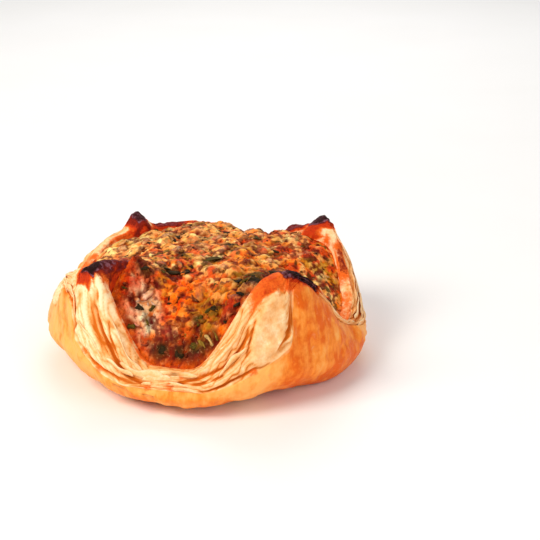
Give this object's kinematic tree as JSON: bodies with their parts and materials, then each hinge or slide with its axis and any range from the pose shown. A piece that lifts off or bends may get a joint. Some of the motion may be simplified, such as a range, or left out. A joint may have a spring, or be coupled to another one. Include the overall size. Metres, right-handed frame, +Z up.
{
  "type": "chicken leek pastry",
  "caption": "Cupped puff pastry with its corners drawn up as charred petals round a baked, lumpy chicken, leek and cheese filling, resting on a flat base.",
  "frame": {"origin": "centre of the flat base, on the surface the pastry rests on, below the middle of its outline", "axes": "+Z up; the side where the rim dips lowest faces -Y; +X to the right of that side"},
  "size_m": [0.115, 0.1146, 0.0468],
  "materials": {
    "baked_pastry": "golden baked puff pastry, cream where its cut layers show, charred at the tips",
    "baked_filling": "browned cheese sauce with green leek and pale chicken, slightly glossy"
  },
  "bodies": {
    "root": {"pastry_case": "baked_pastry", "leek_chicken_filling": "baked_filling"}
  },
  "joints": []
}
